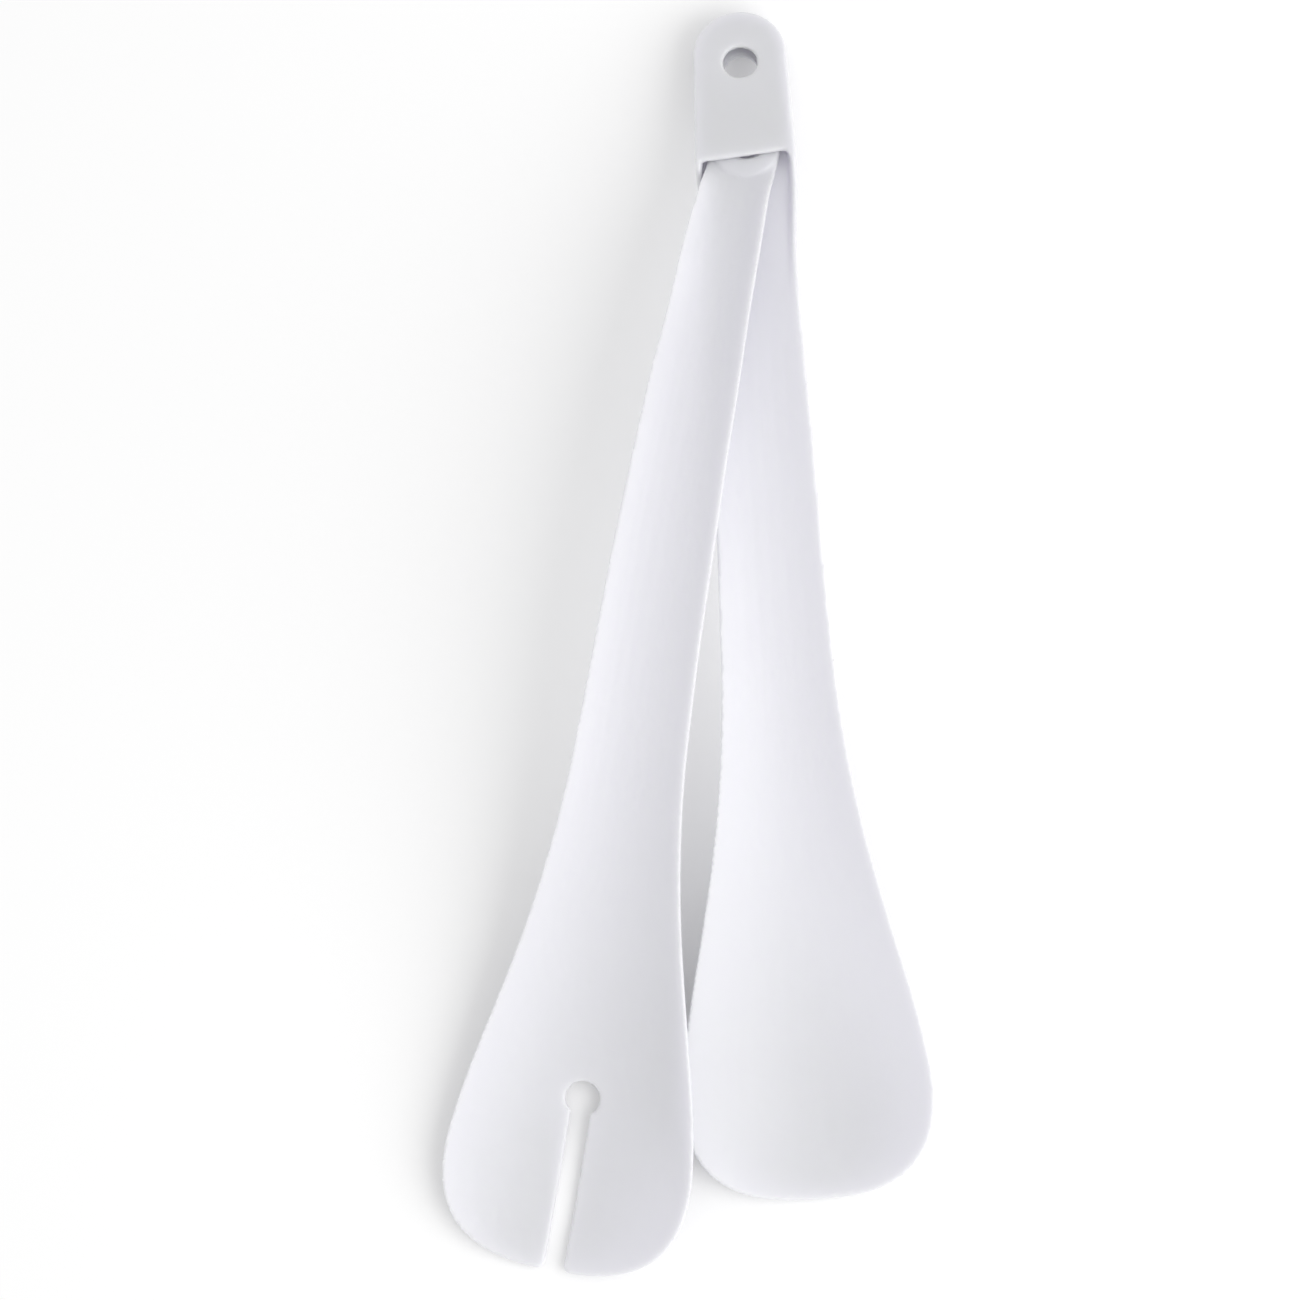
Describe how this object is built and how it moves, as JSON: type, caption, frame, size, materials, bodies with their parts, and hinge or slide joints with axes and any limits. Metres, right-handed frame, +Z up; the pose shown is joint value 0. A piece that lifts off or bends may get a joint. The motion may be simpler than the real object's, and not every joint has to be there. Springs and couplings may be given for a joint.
{
  "type": "salad servers",
  "caption": "Pair of nesting moulded plastic salad servers: a spoon with a pocketed hanging tab, and a slotted server whose tongue rests fanned out in the pocket.",
  "frame": {"origin": "on the surface the pair lies on, under the middle of the pair's box", "axes": "+Y along the spoon, towards its tab; +X to the spoon's right seen from above; +Z up, out of the bowls"},
  "size_m": [0.1252, 0.3158, 0.0407],
  "materials": {
    "spoon_plastic": "satin white",
    "fork_plastic": "satin white, slightly translucent"
  },
  "bodies": {
    "spoon": {"spoon_server": "spoon_plastic"},
    "fork": {"fork_server": "fork_plastic"}
  },
  "joints": [
    {"name": "fork_pull_out", "type": "slide", "parent": "spoon", "child": "fork", "axis": [0, -0.9455, 0.3256], "range_m": [0, 0.12]}
  ]
}
